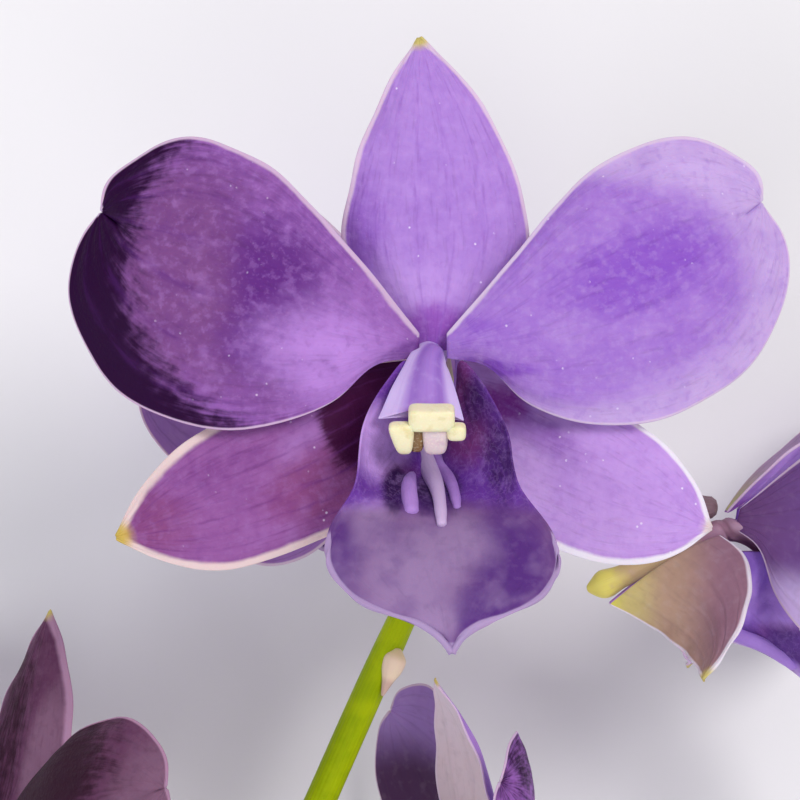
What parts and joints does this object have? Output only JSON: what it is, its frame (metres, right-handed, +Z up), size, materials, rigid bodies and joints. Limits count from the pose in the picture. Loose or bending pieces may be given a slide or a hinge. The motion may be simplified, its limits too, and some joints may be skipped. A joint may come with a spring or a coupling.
{
  "type": "dendrobium orchid stem",
  "caption": "Cut orchid stem lying on its side: a bare curved stalk with open violet blooms near its tip.",
  "frame": {"origin": "centre of the part's box in X and Y, on the surface that the stem lies on", "axes": "+Y along the stalk from its cut end towards the blooms, +Z up from the surface, and the front bloom looks along +Z"},
  "size_m": [0.1154, 0.272, 0.0653],
  "materials": {
    "petal": "soft matte, violet",
    "sepal": "soft matte, violet with a pale margin",
    "lip": "velvety, dark violet",
    "column": "waxy, pale violet",
    "anther_cap": "waxy, cream",
    "pedicel": "smooth, green flushed with violet",
    "stem": "smooth, yellow-green"
  },
  "bodies": {
    "root": {"stem": "stem", "front_dorsal_sepal": "sepal", "front_lateral_sepal_left": "sepal", "front_lateral_sepal_right": "sepal", "front_petal_left": "petal", "front_petal_right": "petal", "front_lip": "lip", "front_column": "column", "front_anther_cap": "anther_cap", "front_pedicel": "pedicel", "right_dorsal_sepal": "sepal", "right_lateral_sepal_left": "sepal", "right_lateral_sepal_right": "sepal", "right_petal_left": "petal", "right_petal_right": "petal", "right_lip": "lip", "right_column": "column", "right_anther_cap": "anther_cap", "right_pedicel": "pedicel", "left_dorsal_sepal": "sepal", "left_lateral_sepal_left": "sepal", "left_lateral_sepal_right": "sepal", "left_petal_left": "petal", "left_petal_right": "petal", "left_lip": "lip", "left_column": "column", "left_anther_cap": "anther_cap", "left_pedicel": "pedicel", "lower_dorsal_sepal": "sepal", "lower_lateral_sepal_left": "sepal", "lower_lateral_sepal_right": "sepal", "lower_petal_left": "petal", "lower_petal_right": "petal", "lower_lip": "lip", "lower_column": "column", "lower_anther_cap": "anther_cap", "lower_pedicel": "pedicel", "back_dorsal_sepal": "sepal", "back_lateral_sepal_left": "sepal", "back_lateral_sepal_right": "sepal", "back_petal_left": "petal", "back_petal_right": "petal", "back_lip": "lip", "back_column": "column", "back_anther_cap": "anther_cap", "back_pedicel": "pedicel"}
  },
  "joints": []
}
